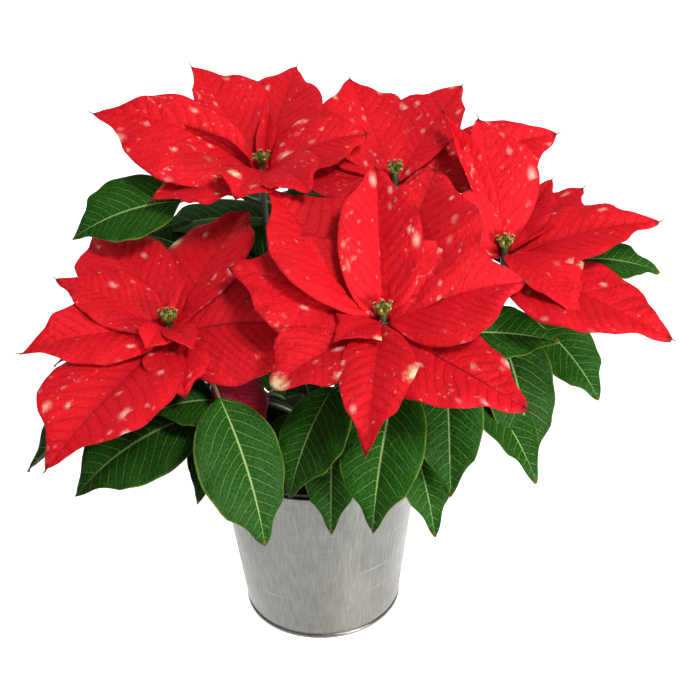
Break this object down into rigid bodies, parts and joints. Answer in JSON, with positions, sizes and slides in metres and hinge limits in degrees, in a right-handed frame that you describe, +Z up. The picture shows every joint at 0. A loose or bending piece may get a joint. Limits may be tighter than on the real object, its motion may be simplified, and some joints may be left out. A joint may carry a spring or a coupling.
{
  "type": "potted poinsettia",
  "caption": "Potted poinsettia with red bracts in flower heads above green leaves, in a plastic growing pot set in a tapered zinc cover pot.",
  "frame": {"origin": "middle of the pot's flat base, on the surface that it stands on", "axes": "+Z up through the pot, +X to the right along the plant's widest spread, the plant's face looks along -Y"},
  "size_m": [0.4483, 0.3736, 0.377],
  "materials": {
    "zinc": "satin",
    "liner": "matte",
    "soil": "matte",
    "stem": "matte",
    "leaf": "satin",
    "bract": "satin",
    "bud": "satin"
  },
  "bodies": {
    "root": {"pot": "zinc", "grow_pot": "liner", "soil": "soil", "trunk": "stem", "leaves_centre": "leaf", "leaves_left": "leaf", "leaves_right": "leaf", "leaves_back_left": "leaf", "leaves_back_right": "leaf", "bracts_centre": "bract", "bracts_left": "bract", "bracts_right": "bract", "bracts_back_left": "bract", "bracts_back_right": "bract", "buds_centre": "bud", "buds_left": "bud", "buds_right": "bud", "buds_back_left": "bud", "buds_back_right": "bud"}
  },
  "joints": []
}
